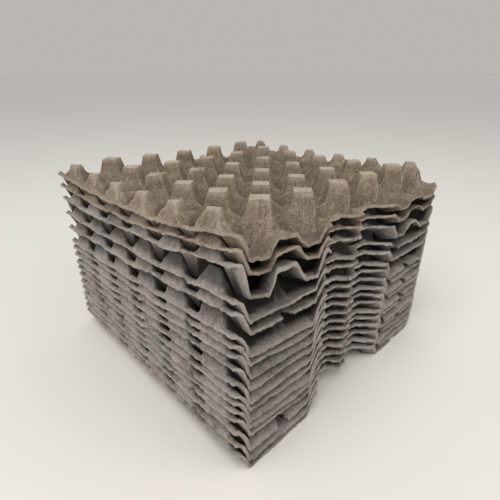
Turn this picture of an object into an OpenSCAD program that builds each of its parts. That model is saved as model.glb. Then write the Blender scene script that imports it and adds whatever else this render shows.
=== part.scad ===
// Stack of moulded pulp egg trays, nested one inside the next.
// Every tray is one thin shell: rows of hollow posts with cups between them,
// low ridges from post to post, a flat rim along two sides and open half cups
// with finger notches along the other two.

/* [Cells] */
// Number of cups along X
cells_x = 6; // [4:2:8]
// Number of cups along Y
cells_y = 5; // [3:1:7]
// Distance from cup to cup along X
pitch_x = 49; // [46:0.5:54]
// Distance from cup to cup along Y
pitch_y = 47; // [45:0.5:52]
// From the outer line of cells to the edge of the rim, on the rim sides
rim_margin = 3; // [1:0.5:8]
// From the outer row of posts to the edge, on the sides with the half cups
open_margin = 32.5; // [28:0.5:38]

/* [Shell] */
// Thickness of the moulded pulp
wall = 2.35; // [1.6:0.05:3]
// Height of a tray from its feet to the caps of its posts
tray_h = 47; // [40:0.5:56]
// Height of the rim and of the ridges above the feet
rim_h = 20; // [16:0.5:24]
// Length cut off each corner of the tray
corner_cut = 6; // [2:0.5:12]

/* [Posts] */
// Width of a post's cap between two opposite facets
cap_w = 16; // [12:0.5:20]
// Slope of the facets that face the cups, in degrees from level
facet_slope = 75; // [72:0.5:77]

/* [Rim posts] */
// How far the caps of the rim posts lie below the other caps
rim_post_drop = 4.5; // [0:0.5:8]
// Width of a rim post's cap along the rim
rim_cap_w = 13; // [10:0.5:16]
// Depth of a rim post's cap across the rim, from its outer edge to its inner corner
rim_cap_d = 10; // [8:0.5:14]
// Slope of the two sides of a rim post, in degrees from level
rim_side_slope = 68; // [62:0.5:71]
// Width of bare rim outside the rim posts
rim_ledge = 2.5; // [1:0.5:5]
// Width of the flat rim between the rim posts
rim_w = 5.5; // [4:0.5:9]

/* [Ridges] */
// How far the sharp crest of a ridge lies below the rim
ridge_drop = 1.5; // [0.5:0.5:4]
// Slope of a ridge's sides and of the walls under the rim, in degrees from level
ridge_slope = 66; // [60:0.5:70]
// From the foot of the outer posts and ridges to the open edge
foot_setback = 8; // [5:0.5:12]

/* [Finger notches] */
// Number of finger notches side by side in each open side
grip_cells = 2; // [0:2:2]
// How far a finger notch goes in from the edge
notch_depth = 15.5; // [12:0.5:16]
// Half the width of a notch at its bottom; its sides run out crosswise
notch_half = 9; // [7:0.5:9]
// How far the point between two notches lies back from the edge
point_setback = 5.5; // [4:0.5:7]
// Width of the flat rim along a notch
grip_lip = 5; // [3:0.5:8]

/* [Open ridge ends] */
// Height of the open ends that the outer ridges of the top trays have at the front edge
flare_h = 14; // [10:0.5:16]
// Half the width of an open end at its top
flare_half = 6; // [3:0.5:8]
// Slope of its sides, in degrees from level
flare_slope = 41; // [38:0.5:50]
// Length of its top, from the front edge inwards
flare_l = 16; // [12:0.5:18]

/* [Stack] */
// Gap between the slopes of one tray and the next, measured upright
seat_gap = 0.3; // [0.1:0.1:1]
// Tilt of the loose upper trays, up at the near corner, in degrees
loose_tilt = 0.5; // [0:0.1:0.8]
// Further tilt of the top three trays, in degrees
top_tilt = 1.4; // [0:0.1:1.5]

/* [Hidden] */
NODES = [
    "tray_01", "tray_02", "tray_03", "tray_04", "tray_05", "tray_06",
    "tray_07", "tray_08", "tray_09", "tray_10", "tray_11", "tray_12",
    "tray_13", "tray_14", "tray_15", "tray_16", "tray_17"
];

// Places in the stack, counted from the bottom
first_loose_tray = 13;
first_top_tray = 15;
first_tan_tray = 16;

// Half sizes of the outline
half_x = cells_x * pitch_x / 2 + rim_margin;
half_y = cells_y * pitch_y / 2 + open_margin;

// Direction of the facets: square to the lines that join the posts crosswise
facet_turn = atan2(pitch_x, pitch_y);
// Distance between neighbouring lines of posts along that direction
cross_pitch = pitch_x * pitch_y / norm([pitch_x, pitch_y]);

// Length that any bar or cut runs past the outline, and depth below the feet
over = 10;
below = 1;
bar_l = 2 * norm([half_x, half_y]);

// Rim posts: height of the cap and distance of its outer edge from the tray's middle
rim_post_h = tray_h - rim_post_drop;
rim_post_x = half_x - rim_ledge - (rim_post_h - rim_h) / tan(facet_slope);

// Height of the ridges' crests
ridge_h = rim_h - ridge_drop;

// Distance from a notch's middle on the edge line to either of its sides
notch_reach = (notch_half + notch_depth) / sqrt(2);

// Upright distance between nested trays: the slopes of the facets bear on each other
nest_pitch = wall / cos(facet_slope) + seat_gap;
// A tilting tray turns about a line this far outside the stack, so that no slope binds
hinge_out = tan(facet_slope) * tray_h / 2;

// A profile's half width at its top once it is moved inwards by the wall
function inside(half, slope) = half + wall / tan(slope) - wall / sin(slope);
// How far a sloping face moves straight down when it moves inwards by the wall
function sunk(slope) = wall / cos(slope);

// Places of the posts: across (i) and along (j)
function post_x(i) = (i - cells_x / 2) * pitch_x;
function post_y(j) = (j - cells_y / 2) * pitch_y;
// Places of the finger notches along an open side
function notch_x(n) = (n - (grip_cells - 1) / 2) * pitch_x;
// Places of the crosswise lines of posts that have an even or an odd number
function rising_lines(odd) = [
    for (k = [1 : cells_x - 1 + cells_y]) if (k % 2 == odd) (k - (cells_x + cells_y) / 2) * cross_pitch
];
function falling_lines(odd) = [
    for (k = [1 - cells_y : cells_x - 1]) if (abs(k % 2) == odd) (k - (cells_x - cells_y) / 2) * cross_pitch
];

// Bars along Y with sloping sides, one at each place along X
module bars(places, half_top, top_z, slope) {
    half_foot = half_top + (top_z + below) / tan(slope);
    rotate([90, 0, 0])
        linear_extrude(height = bar_l, center = true)
            for (p = places)
                polygon(concat(
                    [[p - half_foot, -below], [p + half_foot, -below], [p + half_top, top_z]],
                    half_top > 0 ? [[p - half_top, top_z]] : []
                ));
}

// Half bar along Y: its inner side slopes, its outer side stands upright
module edge_bar(inner_top, outer, top_z, slope) {
    rotate([90, 0, 0])
        linear_extrude(height = bar_l, center = true)
            polygon([
                [inner_top - (top_z + below) / tan(slope), -below], [outer, -below],
                [outer, top_z], [inner_top, top_z]
            ]);
}

// Half space under a slope that faces +X and leaves the given height at edge
module slope_block(edge, top_z, slope) {
    mirror([1, 0, 0]) edge_bar(-edge, bar_l, top_z, slope);
}

// All posts away from the rim as solid pyramids, or the hollows inside them
module posts(hollow) {
    top_z = tray_h - (hollow ? wall : 0);
    half_top = hollow ? inside(cap_w / 2, facet_slope) : cap_w / 2;
    for (odd = [0, 1])
        intersection() {
            rotate(facet_turn) bars(rising_lines(odd), half_top, top_z, facet_slope);
            rotate(-facet_turn) bars(falling_lines(odd), half_top, top_z, facet_slope);
            cube([(cells_x - 1) * pitch_x, 2 * half_y, 2 * tray_h + over], center = true);
        }
}

// One rim post on the +X side, or the hollow inside it: one outer face, two sides
// and two facets that meet at the inner corner of the cap
module rim_post(hollow) {
    top_z = rim_post_h - (hollow ? wall : 0);
    outer = hollow ? inside(0, facet_slope) : 0;
    half_w = hollow ? inside(rim_cap_w / 2, rim_side_slope) : rim_cap_w / 2;
    facet = rim_cap_d * cos(facet_turn);
    facet_edge = hollow ? inside(facet, facet_slope) : facet;
    translate([rim_post_x, 0, 0])
        intersection() {
            slope_block(outer, top_z, facet_slope);
            rotate(90) bars([0], half_w, top_z, rim_side_slope);
            rotate(180 - facet_turn) slope_block(facet_edge, top_z, facet_slope);
            rotate(180 + facet_turn) slope_block(facet_edge, top_z, facet_slope);
        }
}

module rim_posts(hollow) {
    for (side = [0, 1])
        mirror([side, 0, 0])
            for (j = [0 : cells_y])
                translate([0, post_y(j), 0]) rim_post(hollow);
}

// Sharp ridges from post to post along Y, or the grooves under them
module ridges_along(hollow) {
    top_z = ridge_h - (hollow ? sunk(ridge_slope) : 0);
    bars([for (i = [1 : cells_x - 1]) post_x(i)], 0, top_z, ridge_slope);
}

// Sharp ridges from post to post along X, or the grooves under them
module ridges_across(hollow) {
    top_z = ridge_h - (hollow ? sunk(ridge_slope) : 0);
    rotate(90) bars([for (j = [0 : cells_y]) post_y(j)], 0, top_z, ridge_slope);
}

// Posts and the ridges along them, sloped off towards the open sides
module rows(hollow) {
    foot = half_y - foot_setback - (hollow ? wall / sin(facet_slope) : 0);
    top_z = tray_h + over;
    intersection() {
        union() {
            posts(hollow);
            ridges_along(hollow);
        }
        rotate(90) bars([0], foot - top_z / tan(facet_slope), top_z, facet_slope);
    }
}

// Flat rims on the two X sides, with a wall down to the outer cups
module rims(hollow) {
    top_z = rim_h - (hollow ? wall : 0);
    inner = half_x - rim_w;
    inner_top = hollow ? -inside(-inner, ridge_slope) : inner;
    outer = half_x + (hollow ? over : 0);
    for (side = [0, 1]) mirror([side, 0, 0]) edge_bar(inner_top, outer, top_z, ridge_slope);
}

// Puts its children at each finger notch, with the edge line along X and the tray towards +Y
module at_notches() {
    if (grip_cells > 0)
        for (side = [0, 1], n = [0 : grip_cells - 1])
            mirror([0, side, 0]) translate([notch_x(n), -half_y]) children();
}

// Flat rims around the finger notches, with walls down to the cups behind them
module grips(hollow) {
    top_z = rim_h - (hollow ? wall : 0);
    at_notches()
        intersection_for (side = [[90, notch_depth], [45, notch_reach], [135, notch_reach]]) {
            edge = side[1] + grip_lip;
            rotate(side[0]) slope_block(hollow ? inside(edge, ridge_slope) : edge, top_z, ridge_slope);
        }
}

// Open ends of the outer ridges at the front edge, or the mouths under them
module flares(hollow) {
    top_z = flare_h - (hollow ? wall : 0);
    half_top = hollow ? inside(flare_half, flare_slope) : flare_half;
    inner_end = hollow ? inside(flare_l, ridge_slope) : flare_l;
    intersection() {
        bars([post_x(1), post_x(cells_x - 1)], half_top, top_z, flare_slope);
        translate([0, -half_y]) rotate(90) slope_block(inner_end, top_z, ridge_slope);
    }
}

// Outline of the tray seen from above: a square with cut corners and finger notches
module outline() {
    difference() {
        intersection() {
            square([2 * half_x, 2 * half_y], center = true);
            rotate(45) square((half_x + half_y - corner_cut) * sqrt(2), center = true);
        }
        at_notches()
            polygon([
                [-notch_half, notch_depth], [-notch_half - notch_depth - over, -over],
                [notch_half + notch_depth + over, -over], [notch_half, notch_depth]
            ]);
        if (grip_cells > 1)
            for (side = [-1, 1])
                translate([0, side * (half_y - point_setback + over)])
                    square([(grip_cells - 1) * pitch_x, 2 * over], center = true);
    }
}

// One tray, moulded as a single shell, standing on its feet
module tray(flared) {
    difference() {
        intersection() {
            linear_extrude(height = tray_h + over) outline();
            union() {
                translate([-half_x - over, -half_y - over, -2 * below])
                    cube([2 * (half_x + over), 2 * (half_y + over), wall + 2 * below]);
                rows(false);
                ridges_across(false);
                rim_posts(false);
                rims(false);
                grips(false);
                if (flared) flares(false);
            }
        }
        rows(true);
        ridges_across(true);
        rim_posts(true);
        rims(true);
        grips(true);
        if (flared) flares(true);
    }
}

// Turns what is above a seam up at the near corner, about a line past the far corner
module tilted(angle, seam_z) {
    hinge = [half_x + hinge_out / sqrt(2), half_y + hinge_out / sqrt(2), seam_z + tray_h / 2];
    translate(hinge) rotate(a = angle, v = [-1, 1, 0]) translate(-hinge) children();
}

// The tray at a place in the stack, counted from 1 at the bottom
module stacked(place) {
    tilt_1 = place >= first_loose_tray ? loose_tilt : 0;
    tilt_2 = place >= first_top_tray ? top_tilt : 0;
    pulp = place >= first_tan_tray ? "#a08c76" : "#8f8781";
    color(pulp)
        tilted(tilt_1, (first_loose_tray - 1) * nest_pitch)
            tilted(tilt_2, (first_top_tray - 1) * nest_pitch)
                translate([0, 0, (place - 1) * nest_pitch])
                    tray(place >= first_top_tray);
}

for (place = [1 : len(NODES)])
    stacked(place);
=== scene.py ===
# %% [markdown]
# # A stack of moulded pulp egg trays
# Paper pulp is sucked onto a wire mould, dried, and taken off as one thin shell. The CAD frame
# holds the trays with sharp edges and even walls. Here each of them gets what moulding and years
# of use leave behind: soft corners, wavy rims, frayed edges, worn caps and a fibrous skin.

# %% Load the frame
import math

import bpy
import numpy as np
from mathutils import Matrix, Vector


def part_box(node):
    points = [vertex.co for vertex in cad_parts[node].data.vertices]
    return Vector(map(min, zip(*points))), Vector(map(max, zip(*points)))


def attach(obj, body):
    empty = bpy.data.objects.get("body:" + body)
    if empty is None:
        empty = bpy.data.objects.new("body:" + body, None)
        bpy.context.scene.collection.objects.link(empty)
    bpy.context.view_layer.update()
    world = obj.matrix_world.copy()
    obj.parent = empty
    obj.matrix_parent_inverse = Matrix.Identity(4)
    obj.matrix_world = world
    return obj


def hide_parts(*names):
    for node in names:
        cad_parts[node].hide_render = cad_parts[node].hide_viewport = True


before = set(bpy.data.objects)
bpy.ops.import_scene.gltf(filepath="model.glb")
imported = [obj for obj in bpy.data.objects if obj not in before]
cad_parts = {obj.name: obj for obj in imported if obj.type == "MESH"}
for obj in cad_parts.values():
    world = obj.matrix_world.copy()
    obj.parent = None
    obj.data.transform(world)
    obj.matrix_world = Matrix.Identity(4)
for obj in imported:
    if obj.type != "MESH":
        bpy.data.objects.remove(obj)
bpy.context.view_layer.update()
tray_names = sorted(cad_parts)

# %% [markdown]
# ## Where each tray sits
# The upper trays lie a little tilted on the ones below. The undersides of a tray's feet are flat,
# so the mean of all faces that look down gives the tilt. The caps of its posts are the same on
# every tray, so their middle gives the place. Both are measured on the CAD mesh, which keeps the
# new trays where the frame says.

# %% Measure the seat of a tray
FLAT = 0.98
CAP_BAND = 0.0008


def face_values(mesh, key, width):
    values = np.zeros(len(mesh.polygons) * width, np.float32)
    mesh.polygons.foreach_get(key, values)
    return values.reshape(-1, width).astype(float)


def tray_seat(name):
    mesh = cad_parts[name].data
    area = face_values(mesh, "area", 1)
    normal = face_values(mesh, "normal", 3)
    centre = face_values(mesh, "center", 3)
    feet = normal[:, 2] < -FLAT
    up = -(normal[feet] * area[feet]).sum(0)
    up /= np.linalg.norm(up)
    height = centre @ up
    caps = (normal @ up > FLAT) & (height > height.max() - CAP_BAND)
    middle = (centre[caps] * area[caps]).sum(0) / area[caps].sum()
    turn = Vector((0, 0, 1)).rotation_difference(Vector(up))
    return Matrix.Translation(Vector(middle)) @ turn.to_matrix().to_4x4()


seats = {name: tray_seat(name) for name in tray_names}
base = tray_names[0]
_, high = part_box(base)
half_x, half_y = high.x, high.y
print(f"a tray is {2 * half_x:.3f} by {2 * half_y:.3f} by {high.z:.3f} m")

# %% [markdown]
# ## Small helpers
# An operator acts on whatever is selected and active. These few lines choose one piece, choose
# faces in it by a mask, and apply a modifier at once, so that every step below stays short. Most
# shapes and marks below fade in over a band, given as where it starts and where it is full.

# %% Selection, modifiers and points
def only(piece):
    if bpy.context.object and bpy.context.object.mode != "OBJECT":
        bpy.ops.object.mode_set(mode="OBJECT")
    bpy.ops.object.select_all(action="DESELECT")
    if piece:
        piece.select_set(True)
        bpy.context.view_layer.objects.active = piece


def pick_faces(piece, chosen):
    only(piece)
    bpy.context.tool_settings.mesh_select_mode = (False, False, True)
    mesh = piece.data
    mesh.vertices.foreach_set("select", np.zeros(len(mesh.vertices), bool))
    mesh.edges.foreach_set("select", np.zeros(len(mesh.edges), bool))
    mesh.polygons.foreach_set("select", chosen)
    bpy.ops.object.mode_set(mode="EDIT")


def finish_with(piece, kind, **settings):
    only(piece)
    modifier = piece.modifiers.new(kind.lower(), kind)
    for key, value in settings.items():
        setattr(modifier, key, value)
    bpy.ops.object.modifier_apply(modifier=modifier.name)


def points_of(piece):
    co = np.zeros(len(piece.data.vertices) * 3, np.float32)
    piece.data.vertices.foreach_get("co", co)
    return co.reshape(-1, 3).astype(float)


def set_points(piece, co):
    piece.data.vertices.foreach_set("co", co.astype(np.float32).ravel())
    piece.data.update()


def fade(value, start, full):
    """0 up to start, 1 from full on, even in between; full may be less than start."""
    return np.clip((value - start) / (full - start), 0, 1)


# %% [markdown]
# ## The sheet of pulp, still flat
# The posts stand crosswise, so their facets run at about 45 degrees to the sides. A grid that is
# turned and stretched until its lines join the posts has its edges along those facets, and the
# corners come out clean with few faces. The rim is what shows on a stacked tray, so the band
# along it is subdivided. Bisect then cuts the outline: sides, corners, and the finger notches with
# the short point between them. Old trays also have nicks torn out of their edges, so some forms
# lose a few more faces.

# %% Distance from the outline
PITCH_X, PITCH_Y = 0.049, 0.047
CORNER_CUT = 0.006
NOTCH_DEEP, NOTCH_HALF, POINT_BACK = 0.0155, 0.009, 0.0055
NOTCH_OUT = NOTCH_HALF + NOTCH_DEEP


def edge_distance(x, y):
    """How far points lie inside a tray's outline; less than 0 outside it and in its notches."""
    x, y = abs(x), abs(y)
    inward = half_y - y
    sides = np.minimum(half_x - x, inward)
    corner = (half_x + half_y - CORNER_CUT - x - y) / math.sqrt(2)
    from_notch = abs(x - PITCH_X / 2)
    notch = np.maximum((from_notch + inward - NOTCH_OUT) / math.sqrt(2), inward - NOTCH_DEEP)
    point = np.maximum(x - PITCH_X / 2, inward - POINT_BACK)
    return np.minimum.reduce([sides, corner, notch, point])


# %% Cut a flat sheet
CELLS_ACROSS = 13
SHEET_Z = 0.08
RIM_BAND = 0.019
# The sheet ends just inside the CAD outline, so that its edge still falls on the mould
INSET = 0.0004
NOTCH_CUT = NOTCH_OUT + 1.5 * INSET
KEEP_FROM = 0.9 * INSET
CUT_REACH = 0.008


def turned_grid(lines):
    only(None)
    count = CELLS_ACROSS * lines
    bpy.ops.mesh.primitive_grid_add(
        x_subdivisions=count, y_subdivisions=count, size=CELLS_ACROSS, location=(0, 0, 0)
    )
    sheet = bpy.context.object
    bpy.ops.object.mode_set(mode="EDIT")
    bpy.ops.mesh.select_all(action="SELECT")
    bpy.ops.transform.rotate(value=math.radians(45), orient_axis="Z", center_override=(0, 0, 0))
    stretch = (PITCH_X / math.sqrt(2), PITCH_Y / math.sqrt(2), 1)
    bpy.ops.transform.resize(value=stretch, center_override=(0, 0, 0))
    bpy.ops.transform.translate(value=(0, 0, SHEET_Z))
    only(sheet)
    return sheet


def face_middles(sheet):
    only(sheet)
    return face_values(sheet.data, "center", 3)[:, :2].T


def cut(sheet, place, away, near=None, clear=False):
    """Bisect along a line through place; near picks the faces to cut, or else all are."""
    x, y = face_middles(sheet)
    pick_faces(sheet, near(x, y) if near else np.ones(len(x), bool))
    bpy.ops.mesh.bisect(plane_co=(*place, 0), plane_no=(*away, 0), clear_outer=clear)


def cut_outline(sheet):
    for side in (-1, 1):
        cut(sheet, (side * (half_x - INSET), 0), (side, 0), clear=True)
        cut(sheet, (0, side * (half_y - INSET)), (0, side), clear=True)
        for other in (-1, 1):
            corner = (side * (half_x - CORNER_CUT - INSET), other * half_y)
            cut(sheet, corner, (side, other), clear=True)
    for side in (-1, 1):
        for deep in (NOTCH_DEEP, POINT_BACK):
            cut(
                sheet, (0, side * (half_y - deep - INSET)), (0, side),
                lambda x, y: (side * y > half_y - deep - CUT_REACH) & (abs(x) < PITCH_X),
            )
        for middle in (-PITCH_X / 2, PITCH_X / 2):
            for other in (-1, 1):
                cut(
                    sheet, (middle + other * NOTCH_CUT, side * half_y), (other, -side),
                    lambda x, y: (side * y > half_y - NOTCH_DEEP - CUT_REACH)
                    & (other * (x - middle) > 0)
                    & (other * (x - middle) < NOTCH_OUT + CUT_REACH),
                )


def flat_sheet(lines, rim_cuts, nicks):
    sheet = turned_grid(lines)
    if rim_cuts:
        band = edge_distance(*face_middles(sheet))
        pick_faces(sheet, (band < RIM_BAND) & (band > -RIM_BAND / 2))
        bpy.ops.mesh.subdivide(number_cuts=rim_cuts)
    cut_outline(sheet)
    x, y = face_middles(sheet)
    gone = edge_distance(x, y) < KEEP_FROM
    for nick_x, nick_y, half_wide, deep in nicks:
        gone |= np.hypot((x - nick_x) / half_wide, (y - nick_y) / deep) < 1
    pick_faces(sheet, gone)
    bpy.ops.mesh.delete(type="FACE")
    only(sheet)
    print(f"flat sheet of {len(sheet.data.polygons)} faces")
    return sheet


# %% [markdown]
# ## Drape it over the mould
# Shrinkwrap drops every point of the sheet straight down onto the CAD tray, as pulp settles on
# its mould. A turn of Smooth, upright only, rounds the corners that real pulp can't hold. The
# sheet is then extruded, and the lower copy is pushed up against the underside of the CAD tray,
# so the wall is as thick as the frame says, also on the steep facets where Solidify would fold.
# The top three trays have open ridge ends at the front edge, so they get a form of their own. The
# top one shows all of its posts, so it gets a finer form, which is left unsmoothed.

# %% Drape, soften and give it its wall
UNDER_DROP = -0.4


def mould_of(name):
    """A copy of a CAD tray, moved to the place of the lowest one."""
    mould = bpy.data.objects.new("mould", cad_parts[name].data.copy())
    bpy.context.scene.collection.objects.link(mould)
    only(mould)
    mould.matrix_world = seats[base] @ seats[name].inverted()
    bpy.ops.object.transform_apply(location=True, rotation=True, scale=True)
    return mould


def moulded_tray(name, like, lines, rim_cuts, soften=0.4, nicks=()):
    mould = mould_of(like)
    tray = flat_sheet(lines, rim_cuts, nicks)
    tray.name = name
    drop = dict(wrap_method="PROJECT", use_project_z=True, target=mould)
    finish_with(
        tray, "SHRINKWRAP", use_negative_direction=True, use_positive_direction=False, **drop
    )
    if soften:
        finish_with(tray, "SMOOTH", factor=soften, iterations=1, use_x=False, use_y=False)
    bpy.ops.object.mode_set(mode="EDIT")
    bpy.ops.mesh.select_all(action="SELECT")
    bpy.ops.mesh.extrude_region_move(TRANSFORM_OT_translate={"value": (0, 0, UNDER_DROP)})
    bpy.ops.object.vertex_group_assign_new()
    only(tray)
    tray.vertex_groups[-1].name = "under"
    finish_with(
        tray, "SHRINKWRAP", use_negative_direction=False, use_positive_direction=True,
        vertex_group="under", **drop
    )
    bpy.ops.object.mode_set(mode="EDIT")
    bpy.ops.mesh.select_all(action="SELECT")
    bpy.ops.mesh.normals_make_consistent(inside=False)
    only(tray)
    bpy.data.objects.remove(mould)
    print(f"{name}: {len(tray.data.polygons)} faces")
    return tray


# %% Mould the forms
# Nicks in the edge of each plain form: middle x and y, half width and depth
NICKS = (
    ((-0.098, -0.15, 0.006, 0.008), (-0.15, 0.06, 0.003, 0.012)),
    ((0.066, -0.15, 0.006, 0.007), (-0.15, -0.09, 0.002, 0.005)),
    ((0.104, -0.15, 0.005, 0.005), (-0.15, -0.02, 0.002, 0.007)),
)
# The plain form of each lower tray, from the lowest one up; the open trays follow
PLAIN_ORDER = (2, 1, 0, 1, 2, 1, 2, 2, 1, 2, 1, 2, 0, 1)
FIRST_OPEN = len(PLAIN_ORDER)
plain_forms = [
    moulded_tray(f"plain_form_{n}", base, lines=7, rim_cuts=2, nicks=nicks)
    for n, nicks in enumerate(NICKS)
]
open_form = moulded_tray("open_form", tray_names[-1], lines=7, rim_cuts=2)
top_form = moulded_tray("top_form", tray_names[-1], lines=21, rim_cuts=0, soften=0)
all_forms = plain_forms + [open_form, top_form]
forms = [plain_forms[n] for n in PLAIN_ORDER] + [open_form, open_form, top_form]

# %% [markdown]
# ## Slim the posts
# The CAD posts are as wide as nesting allows. Pulp shrinks as it dries, and the posts of a real
# tray are slimmer towards their caps. Each point near a post is drawn towards the post's axis,
# measured square to the facets, so the facets stay flat and the ridges stay straight. All forms
# are slimmed, so that their posts still nest, but the lower posts at the rim only on the open ones.

# %% Draw points towards the posts
# Distances from a post's axis, and what they become
POST_STEPS = (0, 0.008, 0.0109, 0.0158, 0.021)
POST_SLIM = (0, 0.0073, 0.0098, 0.0116, 0.021)
RIM_POST_STEPS, RIM_POST_SLIM = (0, 0.0065, 0.0235), (0, 0.0055, 0.0235)
RIM_BLEND = (0.12, 0.128)
LAST_POST, LAST_ROW = 2, 2
TINY = 1e-6


def nearest_post(x, y):
    """The axis of the nearest post that isn't at the rim, which also gives a rim post's y."""
    post_x = np.clip(np.round(x / PITCH_X), -LAST_POST, LAST_POST) * PITCH_X
    row_y = (np.clip(np.round(y / PITCH_Y - 0.5), -LAST_ROW - 1, LAST_ROW) + 0.5) * PITCH_Y
    return post_x, row_y


def slim(form, rim_too):
    co = points_of(form)
    x, y = co[:, 0], co[:, 1]
    post_x, row_y = nearest_post(x, y)
    cross = PITCH_X * PITCH_Y / math.hypot(PITCH_X, PITCH_Y)
    reach = cross * (abs(x - post_x) / PITCH_X + abs(y - row_y) / PITCH_Y)
    share = np.interp(reach, POST_STEPS, POST_SLIM) / np.maximum(reach, TINY)
    share[reach > POST_STEPS[-1]] = 1
    off = y - row_y
    slimmer = off
    if rim_too:
        slimmer = np.sign(off) * np.interp(abs(off), RIM_POST_STEPS, RIM_POST_SLIM)
        slimmer = np.where(abs(off) < RIM_POST_STEPS[-1], slimmer, off)
    at_rim = fade(abs(x), *RIM_BLEND)
    co[:, 0] = post_x + (x - post_x) * share
    co[:, 1] = row_y + off * share * (1 - at_rim) + slimmer * at_rim
    set_points(form, co)
    print(f"{form.name}: {int((share < 1).sum())} points drawn in")


for form in all_forms:
    slim(form, form in (open_form, top_form))

# %% [markdown]
# ## Rims, wear and painted shade, marked on the form
# A few marks are stored once on each form and travel with its copies: how near a point is to the
# cut edge, how worn it is (the caps that rub), how far it stands above its neighbours (crests and
# corners, where the fibres are rubbed pale and a painted highlight goes too) and how deep it lies,
# which paints shade low in the cups. A last one says how far inside the stack it is: away from the
# edge, in a gap between two rim posts, or high up in a plain tray, where the next one covers it;
# there it paints the shade that falls inside the stack. The top tray has none of that. A group of
# points along the rim will let the textures push there only.

# %% Mark the form
RIM_STEPS = (0.0005, 0.0025, 0.005, 0.008, 0.012)
RIM_X = 0.125
CAP_TOP, RIM_CAP_TOP, CAP_FADE = 0.047, 0.0425, 0.0012
EDGE_BAND = (0.0035, 0)
CREST_BAND = (0.0003, 0.0011)
# These bands paint shade inside the stack: away from the edge, in the gaps between rim posts, and
# just under the lip of the next tray
INNER_BAND = (0.003, 0.012)
GAP_FROM_POST, GAP_FROM_EDGE = (0.009, 0.014), (0.004, 0.007)
COVERED_BAND, COVERED_MOST = (0.0235, 0.0275), 0.75


def rise_above_neighbours(form, co):
    ends = np.zeros(len(form.data.edges) * 2, np.int32)
    form.data.edges.foreach_get("vertices", ends)
    ends = ends.reshape(-1, 2)
    rise, count = np.zeros(len(co)), np.zeros(len(co))
    for here, there in (ends.T, ends.T[::-1]):
        np.add.at(rise, here, co[here, 2] - co[there, 2])
        np.add.at(count, here, 1)
    return rise / count


def mark(form):
    co = points_of(form)
    x, y, z = co.T
    away = edge_distance(x, y)
    group = form.vertex_groups.new(name="rim")
    for step, reach in enumerate(RIM_STEPS):
        nearer = RIM_STEPS[step - 1] if step else -1
        ring = np.flatnonzero((away <= reach) & (away > nearer))
        group.add(ring.tolist(), 1 - step / len(RIM_STEPS), "REPLACE")
    at_rim = abs(x) > RIM_X
    # Painted shade in the gaps between rim posts, inside the stack and under the next tray's lip
    from_post = abs(y - nearest_post(x, y)[1])
    gap = fade(from_post, *GAP_FROM_POST) * fade(away, *GAP_FROM_EDGE) * at_rim
    inner = np.maximum(fade(away, *INNER_BAND), gap)
    if form in plain_forms:
        inner = np.maximum(inner, COVERED_MOST * fade(z, *COVERED_BAND))
    cap_top = np.where(at_rim, RIM_CAP_TOP, CAP_TOP)
    marks = {
        "edge": fade(away, *EDGE_BAND),
        # Where a point stands out: rubbed pale, and partly a painted highlight
        "crest": fade(rise_above_neighbours(form, co), *CREST_BAND),
        "inner": inner * (form is not top_form),
        "worn": fade(z, cap_top - CAP_FADE, cap_top),
        # Low points get painted shade in the cups
        "depth": fade(z, CAP_TOP, 0),
    }
    for key, values in marks.items():
        layer = form.data.attributes.new(key, "FLOAT", "POINT")
        layer.data.foreach_set("value", values.astype(np.float32))
    print(f"{form.name}: marked, {int((marks['worn'] > 0.5).sum())} worn points")


for form in all_forms:
    mark(form)

# %% [markdown]
# ## Lay up the stack
# Every tray is a copy of one of the forms with its own mesh. It is bent before it is laid in its
# seat: the near corner of the upper trays curls up, their ridges and rims ride up, and the lips of
# the lower ones droop. Posts stay upright meanwhile, because above the ridges a point is lifted
# like the axis of its post. Clouds textures then push the tray about in three sizes: a slow sway
# of the rim, lumps in the wall and a fray of the cut edge. An empty says where in the textures a
# tray lies, and it moves on from tray to tray, so that no two come out alike. What would reach
# below the floor is laid flat on it.

# %% How far the trays are bent
MM = 0.001
# How far each corner stands up from the CAD tray, in mm, from the lowest tray to the top one
LIFTS = {
    (-1, -1): (0, 2, 7, 11, 11, 11, 11, 13, 16, 18, 18, 17.5, 18, 14, 13, 14, 14),
    (-1, 1): (0, -1, -2, -3, -4, -4, -4, -4, -4, -4, -4, -5, -4, 1, 2.4, 7.4, 11.4),
    (1, -1): (0,) * 14 + (4.7, 7.7, 9.7),
    (1, 1): (0,) * 14 + (3, 7, 10),
}
UPRIGHT_BAND = (0.024, 0.036)
# The upper trays are slack: what lies low in them rides up towards the caps
SLACK = (0,) * 12 + (0.004, 0.008, 0.009, 0.009, 0.009)
SLACK_BAND = (0.036, 0.019)
# Along the front, away from the near corner, the rim of the slack trays stays down
FRONT_Y, FRONT_X = (-0.12, -0.132), (-0.06, -0.048)
FRONT_DROP, FRONT_STEPS, FRONT_SHARE = 0.009, (0.006, 0.016, 0.024, 0.032), (0, 1, 1, 0)
# The lips of the plain trays' half cups hang down at their edge, in mm from the lowest tray up
DROOPS = (0, 3.5, 5, 2, 3.5, 5.5, 1.5, 4, 3, 5.5, 2, 4.5, 1, 0)
DROOP_BAND, LIP_TOP = (0.009, 0), 0.008
# The open trays sag as a whole, and their near tip curls up
SAG, CURL = 0.0021, 0.0072
# The cups of the lowest of them hang deeper
DEEP, DEEP_BAND = 0.007, (0.016, 0.006)
# Their ridges rise, and the middle of those below the top one is tucked down, clear of the next
INSIDE_BAND = (0.01, 0.018)
RIDGE_STEPS, RIDGE_RISE = (0.01, 0.018, 0.03), (0, 0.004, 0)
TUCK = 0.0025
# Their open ridge end by the near corner is wide: places along x, and where they go
TAB_FROM, TAB_TO = (-0.135, -0.12, -0.104, -0.092), (-0.135, -0.1215, -0.1125, -0.092)
TAB_BAND = (-0.128, -0.138)


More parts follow.
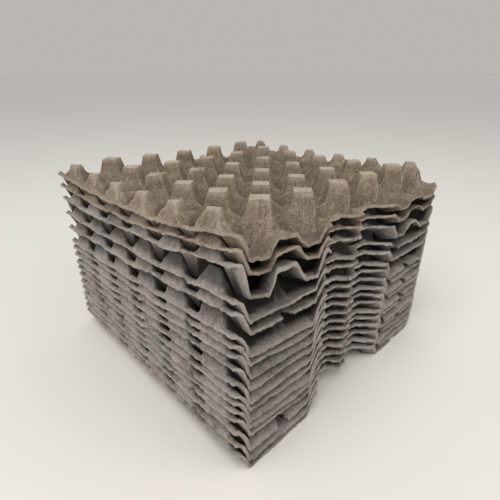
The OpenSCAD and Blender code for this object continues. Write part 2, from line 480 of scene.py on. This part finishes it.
# %% Bend a tray
def bend(place, co):
    """The points of a tray, bent for its place in the stack."""
    x, y, z = co.T
    post_x, row_y = nearest_post(x, y)
    upright = fade(z, *UPRIGHT_BAND)
    stand_x = x + (post_x - x) * upright * (abs(x) < RIM_BLEND[0])
    stand_y = y + (row_y - y) * upright
    lift = np.zeros(len(co))
    for (side_x, side_y), lifts in LIFTS.items():
        share = fade(side_x * stand_x + side_y * stand_y, 0, half_x + half_y)
        lift += MM * lifts[place] * share**2
    lift += SLACK[place] * fade(z, *SLACK_BAND)
    front = fade(y, *FRONT_Y) * fade(x, *FRONT_X) * np.interp(z, FRONT_STEPS, FRONT_SHARE)
    lift -= FRONT_DROP * SLACK[place] / SLACK[-1] * front
    away = edge_distance(x, y)
    if place < FIRST_OPEN:
        lift -= MM * DROOPS[place] * fade(away, *DROOP_BAND) ** 2 * (z < LIP_TOP)
        return np.column_stack([x, y, z + lift])
    near = fade(-(stand_x + stand_y), 0, half_x + half_y)
    lift += CURL * near**5 - SAG
    if place == FIRST_OPEN:
        lift -= DEEP * fade(z, *DEEP_BAND)
    inside = fade(away, *INSIDE_BAND)
    lift += np.interp(z, RIDGE_STEPS, RIDGE_RISE) * inside
    if forms[place] is open_form:
        lift -= TUCK * inside
    in_tab = fade(y, *TAB_BAND) * (x > TAB_FROM[0]) * (x < TAB_FROM[-1])
    wide_x = x + (np.interp(x, TAB_FROM, TAB_TO) - x) * in_tab
    return np.column_stack([wide_x, y, z + lift])


# %% Textures that push the pulp about
def cloud(name, size, depth):
    texture = bpy.data.textures.new(name, "CLOUDS")
    texture.noise_scale = size
    texture.noise_depth = depth
    texture.noise_basis = "IMPROVED_PERLIN"
    return texture


sway = cloud("rim_sway", 0.045, 1)
lumps = cloud("wall_lumps", 0.011, 1)
fray = cloud("edge_fray", 0.0032, 2)
# Direction, texture, strength and group of each push
PUSHES = (
    ("Z", sway, 0.0065, "rim"), ("X", sway, 0.0025, "rim"), ("Y", sway, 0.0025, "rim"),
    ("X", fray, 0.0024, "rim"), ("Y", fray, 0.0024, "rim"), ("Z", fray, 0.0022, "rim"),
    ("Z", lumps, 0.0032, "rim"), ("NORMAL", lumps, 0.0009, ""),
)
WANDER_X, WANDER_Y = 0.31, 0.17
wander = bpy.data.objects.new("texture_place", None)
bpy.context.scene.collection.objects.link(wander)

# %% Copy, bend and lay down each tray
SHARP_FROM = math.radians(48)


def lay(place, name):
    only(forms[place])
    bpy.ops.object.duplicate(linked=False)
    tray = bpy.context.object
    tray.name = "pulp_" + name
    set_points(tray, bend(place, points_of(tray)))
    tray.matrix_world = seats[name] @ seats[base].inverted()
    bpy.ops.object.transform_apply(location=True, rotation=True, scale=True)
    wander.location = (WANDER_X * place, WANDER_Y * place, 0)
    bpy.context.view_layer.update()
    for direction, texture, strength, group in PUSHES:
        finish_with(
            tray, "DISPLACE", texture=texture, strength=strength, direction=direction,
            vertex_group=group, texture_coords="OBJECT", texture_coords_object=wander,
            mid_level=0.5,
        )
    co = points_of(tray)
    co[:, 2] = np.maximum(co[:, 2], 0)
    set_points(tray, co)
    bpy.ops.object.shade_smooth_by_angle(angle=SHARP_FROM)
    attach(tray, "root")
    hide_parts(name)
    return tray


trays = {name: lay(place, name) for place, name in enumerate(tray_names)}
bpy.data.objects.remove(wander)
for form in all_forms:
    bpy.data.objects.remove(form)
print(f"{sum(len(t.data.polygons) for t in trays.values())} faces in {len(trays)} trays")

# %% [markdown]
# ## The skin of the pulp
# Pulp is a felt of paper fibres: blotchy, flecked with ink and bits of white paper, and crossed by
# hair-thin strands. One node group makes these as values. Thin strands come from a noise where it
# passes its middle value, which draws winding lines. Both pulps use the group with their own tones.

# %% Helpers for nodes
def feed(tree, socket, value):
    if isinstance(value, bpy.types.NodeSocket):
        tree.links.new(value, socket)
    else:
        socket.default_value = value


def node(tree, kind, **inputs):
    """A node with its inputs by name, or by number as i0, i1 and so on."""
    made = tree.nodes.new("ShaderNode" + kind)
    for key, value in inputs.items():
        numbered = key[0] == "i" and key[1:].isdigit()
        feed(tree, made.inputs[int(key[1:]) if numbered else key], value)
    return made


def maths(tree, operation, a, b=0.0):
    made = node(tree, "Math", i0=a, i1=b)
    made.operation = operation
    return made.outputs[0]


def combine(tree, operation, *parts):
    """Values times their weights, joined by an operation."""
    joined = None
    for value, weight in parts:
        part = maths(tree, "MULTIPLY", value, weight)
        joined = part if joined is None else maths(tree, operation, joined, part)
    return joined


def noise(tree, place, scale, detail, rough=0.55, twist=0.0):
    made = node(
        tree, "TexNoise", Vector=place, Scale=scale, Detail=detail, Roughness=rough,
        Distortion=twist,
    )
    return made.outputs["Fac"]


def ramp(tree, value, low_at, high_at):
    made = node(tree, "MapRange", Value=value)
    made.inputs["From Min"].default_value = low_at
    made.inputs["From Max"].default_value = high_at
    made.interpolation_type = "SMOOTHSTEP"
    return made.outputs["Result"]


# %% The pulp group
# Scale, twist and width of the thin and the thinner strands
STRANDS = ((150.0, 1.6, 0.012), (320.0, 2.2, 0.02))


def pulp_group():
    tree = bpy.data.node_groups.new("pulp_felt", "ShaderNodeTree")
    tree.interface.new_socket("Place", in_out="INPUT", socket_type="NodeSocketVector")
    place = tree.nodes.new("NodeGroupInput").outputs["Place"]
    broad = noise(tree, place, scale=38.0, detail=3.0, rough=0.6)
    fine = noise(tree, place, scale=210.0, detail=6.0, rough=0.65)
    strands = []
    for scale, twist, width in STRANDS:
        wave = noise(tree, place, scale, detail=2.0, rough=0.5, twist=twist)
        apart = maths(tree, "ABSOLUTE", maths(tree, "SUBTRACT", wave, 0.5))
        strands.append(ramp(tree, apart, width, 0.0))
    strand = maths(tree, "MAXIMUM", *strands)
    specks = node(tree, "TexVoronoi", Vector=place, Scale=190.0, Randomness=1.0)
    fleck = ramp(tree, specks.outputs["Distance"], 0.16, 0.06)
    rare = ramp(tree, noise(tree, place, scale=60.0, detail=2.0), 0.56, 0.64)
    drawn_out = node(tree, "Mapping", Vector=place, Scale=(1.0, 1.0, 0.12)).outputs["Vector"]
    grain = noise(tree, place, scale=820.0, detail=3.0, rough=0.7, twist=0.6)
    results = {
        "Blotch": combine(tree, "ADD", (broad, 0.55), (fine, 0.45)),
        "Strand": strand,
        "Fleck": maths(tree, "MULTIPLY", fleck, rare),
        "Streak": noise(tree, drawn_out, scale=260.0, detail=4.0, rough=0.6),
        "Grain": grain,
        "Height": combine(tree, "ADD", (fine, 0.8), (strand, 0.25), (grain, 0.5)),
    }
    for name in results:
        tree.interface.new_socket(name, in_out="OUTPUT", socket_type="NodeSocketFloat")
    out = tree.nodes.new("NodeGroupOutput")
    for name, socket in results.items():
        tree.links.new(socket, out.inputs[name])
    return tree


pulp_felt = pulp_group()
print(f"pulp group of {len(pulp_felt.nodes)} nodes")

# %% [markdown]
# ## Two pulps
# The stack mixes grey trays with two browner ones on top. Both have the same build: a blotchy base,
# darker strands, specks of ink, pale worn caps, fuzzy pale edges, pale crests that are partly a
# painted highlight, and painted shade low in the cups and inside the stack.

# %% Make the pulps
# The second tone here is painted shade, for the cups and the inside of the stack
INK, SHADE_TONE = (0.05, 0.045, 0.04, 1), (0.045, 0.04, 0.038, 1)
ROUGH, SHINE = 0.95, 0.15
BUMP_DEEP = 0.0013


def mix(tree, factor, a, b):
    made = tree.nodes.new("ShaderNodeMix")
    made.data_type = "RGBA"
    for number, value in ((0, factor), (6, a), (7, b)):
        feed(tree, made.inputs[number], value)
    return made.outputs[2]


def attribute(tree, name):
    made = tree.nodes.new("ShaderNodeAttribute")
    made.attribute_name = name
    return made.outputs["Fac"]


def pulp(name, dark, light, strand, worn):
    material = bpy.data.materials.new(name)
    material.use_nodes = True
    tree = material.node_tree
    skin = tree.nodes["Principled BSDF"]
    place = tree.nodes.new("ShaderNodeTexCoord").outputs["Object"]
    felt = tree.nodes.new("ShaderNodeGroup")
    felt.node_tree = pulp_felt
    tree.links.new(place, felt.inputs["Place"])
    get = felt.outputs
    colour = mix(tree, ramp(tree, get["Blotch"], 0.34, 0.66), dark, light)
    # What lies on the base: where, how much of it at most, and its tone
    for where, most, tone in (
        (get["Strand"], 0.55, strand),
        (ramp(tree, get["Streak"], 0.5, 0.75), 0.35, worn),
        (get["Fleck"], 0.7, INK),
        (ramp(tree, get["Grain"], 0.5, 0.68), 0.5, worn),
        (ramp(tree, get["Grain"], 0.5, 0.34), 0.6, strand),
    ):
        colour = mix(tree, maths(tree, "MULTIPLY", where, most), colour, tone)
    # Caps and edges rubbed pale; on crests and corners this is partly a painted highlight
    wear_and_highlight = combine(
        tree, "MAXIMUM", (attribute(tree, "worn"), 0.85), (attribute(tree, "crest"), 0.5),
        (attribute(tree, "edge"), 0.6),
    )
    wear_and_highlight = maths(tree, "MULTIPLY", wear_and_highlight, ramp(tree, get["Blotch"], 0.3, 0.5))
    colour = mix(tree, wear_and_highlight, colour, worn)
    # Painted shade: darker low in the cups and inside the stack, where the shade falls
    deep = ramp(tree, attribute(tree, "depth"), 0.55, 1.0)
    painted_shade = combine(tree, "MAXIMUM", (deep, 0.25), (attribute(tree, "inner"), 0.95))
    colour = mix(tree, painted_shade, colour, SHADE_TONE)
    bump = node(tree, "Bump", Strength=1.0, Distance=BUMP_DEEP, Height=get["Height"])
    feed(tree, skin.inputs["Base Color"], colour)
    feed(tree, skin.inputs["Roughness"], ROUGH)
    feed(tree, skin.inputs["Specular IOR Level"], SHINE)
    feed(tree, skin.inputs["Normal"], bump.outputs["Normal"])
    return material


grey_pulp = pulp(
    "grey_pulp", dark=(0.225, 0.199, 0.184, 1), light=(0.45, 0.408, 0.38, 1),
    strand=(0.085, 0.075, 0.07, 1), worn=(0.58, 0.54, 0.5, 1),
)
brown_pulp = pulp(
    "brown_pulp", dark=(0.212, 0.163, 0.12, 1), light=(0.38, 0.306, 0.234, 1),
    strand=(0.09, 0.068, 0.055, 1), worn=(0.56, 0.48, 0.39, 1),
)
BROWN_TRAYS = tray_names[-2:]
for name, tray in trays.items():
    finish, slot = (brown_pulp, "brown_pulp") if name in BROWN_TRAYS else (grey_pulp, "grey_pulp")
    tray.data.materials.clear()
    tray.data.materials.append(finish)

# %% [markdown]
# ## Floor, light and camera
# A wide pale floor, one big soft lamp above, a weaker one from the right, and an even sky. What the
# camera sees of the sky has the tone of the far floor, so that no line shows where they meet. The
# camera stands close over the near corner, which gives the strong perspective of the photograph.

# %% Floor
FLOOR_TONE, FLOOR_ROUGH = (0.8, 0.785, 0.76, 1), 0.9
only(None)
bpy.ops.mesh.primitive_plane_add(size=60, location=(0, 0, 0))
floor = bpy.context.object
floor.name = "floor"
paper = bpy.data.materials.new("floor_paper")
paper.use_nodes = True
paper.node_tree.nodes["Principled BSDF"].inputs["Base Color"].default_value = FLOOR_TONE
paper.node_tree.nodes["Principled BSDF"].inputs["Roughness"].default_value = FLOOR_ROUGH
floor.data.materials.append(paper)

# %% Light
LIT_SPOT = Vector((0, 0, 0.12))
SKY_TONE, SKY_POWER, SEEN_TONE = (1.0, 0.985, 0.96, 1), 0.6, (0.489, 0.474, 0.447, 1)


def softbox(name, place, size, power, tint):
    lamp = bpy.data.lights.new(name, "AREA")
    lamp.size = size
    lamp.energy = power
    lamp.color = tint
    holder = bpy.data.objects.new(name, lamp)
    bpy.context.scene.collection.objects.link(holder)
    holder.location = place
    aim = LIT_SPOT - Vector(place)
    holder.rotation_euler = aim.to_track_quat("-Z", "Y").to_euler()


softbox("key_lamp", (-0.9, -0.3, 1.6), size=1.3, power=18.7, tint=(1.0, 0.95, 0.93))
softbox("fill_lamp", (0.7, -1.3, 0.9), size=1.0, power=5, tint=(1.0, 0.98, 0.84))
world = bpy.data.worlds.new("room")
bpy.context.scene.world = world
world.use_nodes = True
sky = world.node_tree
lit = sky.nodes["Background"]
lit.inputs["Color"].default_value = SKY_TONE
lit.inputs["Strength"].default_value = SKY_POWER
seen = node(sky, "Background", Color=SEEN_TONE, Strength=1.0)
rays = sky.nodes.new("ShaderNodeLightPath")
direct = maths(sky, "MAXIMUM", rays.outputs["Is Camera Ray"], rays.outputs["Is Glossy Ray"])
direct = maths(sky, "MAXIMUM", direct, rays.outputs["Is Transmission Ray"])
either = node(sky, "MixShader", i0=direct, i1=lit.outputs[0], i2=seen.outputs[0])
sky.links.new(either.outputs[0], sky.nodes["World Output"].inputs["Surface"])
bpy.context.scene.view_settings.view_transform = "Standard"

# %% Camera
EYE = Vector((-0.2813, -0.2997, 0.3006))
YAW, PITCH, ROLL = 46.32, 25.51, -0.09
FOCAL_PIXELS, IMAGE_PIXELS, SENSOR = 379.65, 500.0, 36.0
lens = bpy.data.cameras.new("camera")
lens.sensor_width = SENSOR
lens.lens = FOCAL_PIXELS / IMAGE_PIXELS * SENSOR
camera = bpy.data.objects.new("camera", lens)
bpy.context.scene.collection.objects.link(camera)
level = math.cos(math.radians(PITCH))
look = Vector((
    level * math.cos(math.radians(YAW)), level * math.sin(math.radians(YAW)),
    -math.sin(math.radians(PITCH)),
))
camera.location = EYE
turn = look.to_track_quat("-Z", "Y").to_matrix() @ Matrix.Rotation(math.radians(ROLL), 3, "Z")
camera.rotation_euler = turn.to_euler()
bpy.context.scene.camera = camera

# %% Clear the selection
only(None)
bpy.context.view_layer.update()
